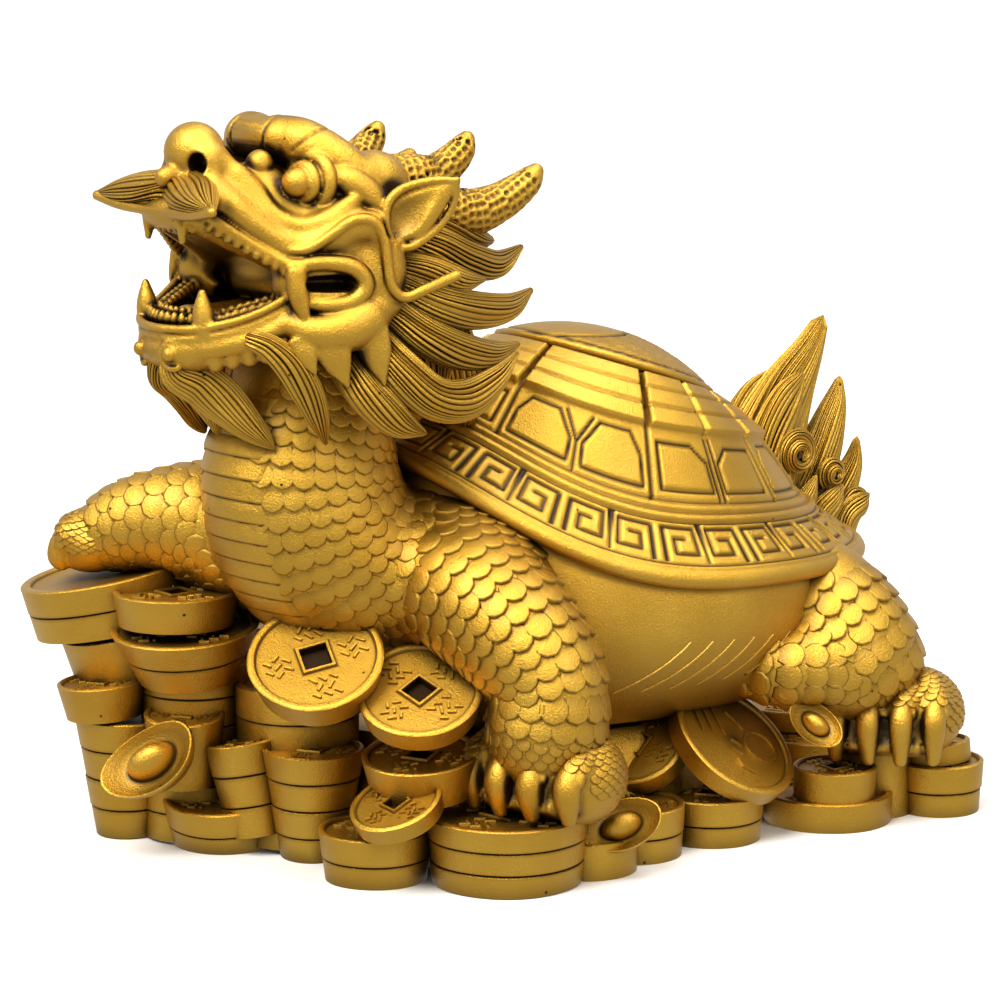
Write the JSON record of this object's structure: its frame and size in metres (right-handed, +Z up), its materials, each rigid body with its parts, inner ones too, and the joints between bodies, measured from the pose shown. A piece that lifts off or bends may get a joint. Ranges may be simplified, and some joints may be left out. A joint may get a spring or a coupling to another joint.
{
  "type": "dragon turtle figurine",
  "caption": "Cast dragon turtle figurine with an engraved shell, standing on a heap of coins and ingots, for display on a shelf or desk.",
  "frame": {"origin": "on the flat underside, on the figure's middle plane, near the middle of the heap", "axes": "+Z up, the head looks towards -Y and the tail is at +Y, and the figure's left side is +X"},
  "size_m": [0.1432, 0.2017, 0.162],
  "materials": {
    "gilt": "satin antique gold with dark brown in the cut lines and hollows"
  },
  "bodies": {
    "root": {"dragon_turtle": "gilt"}
  },
  "joints": []
}
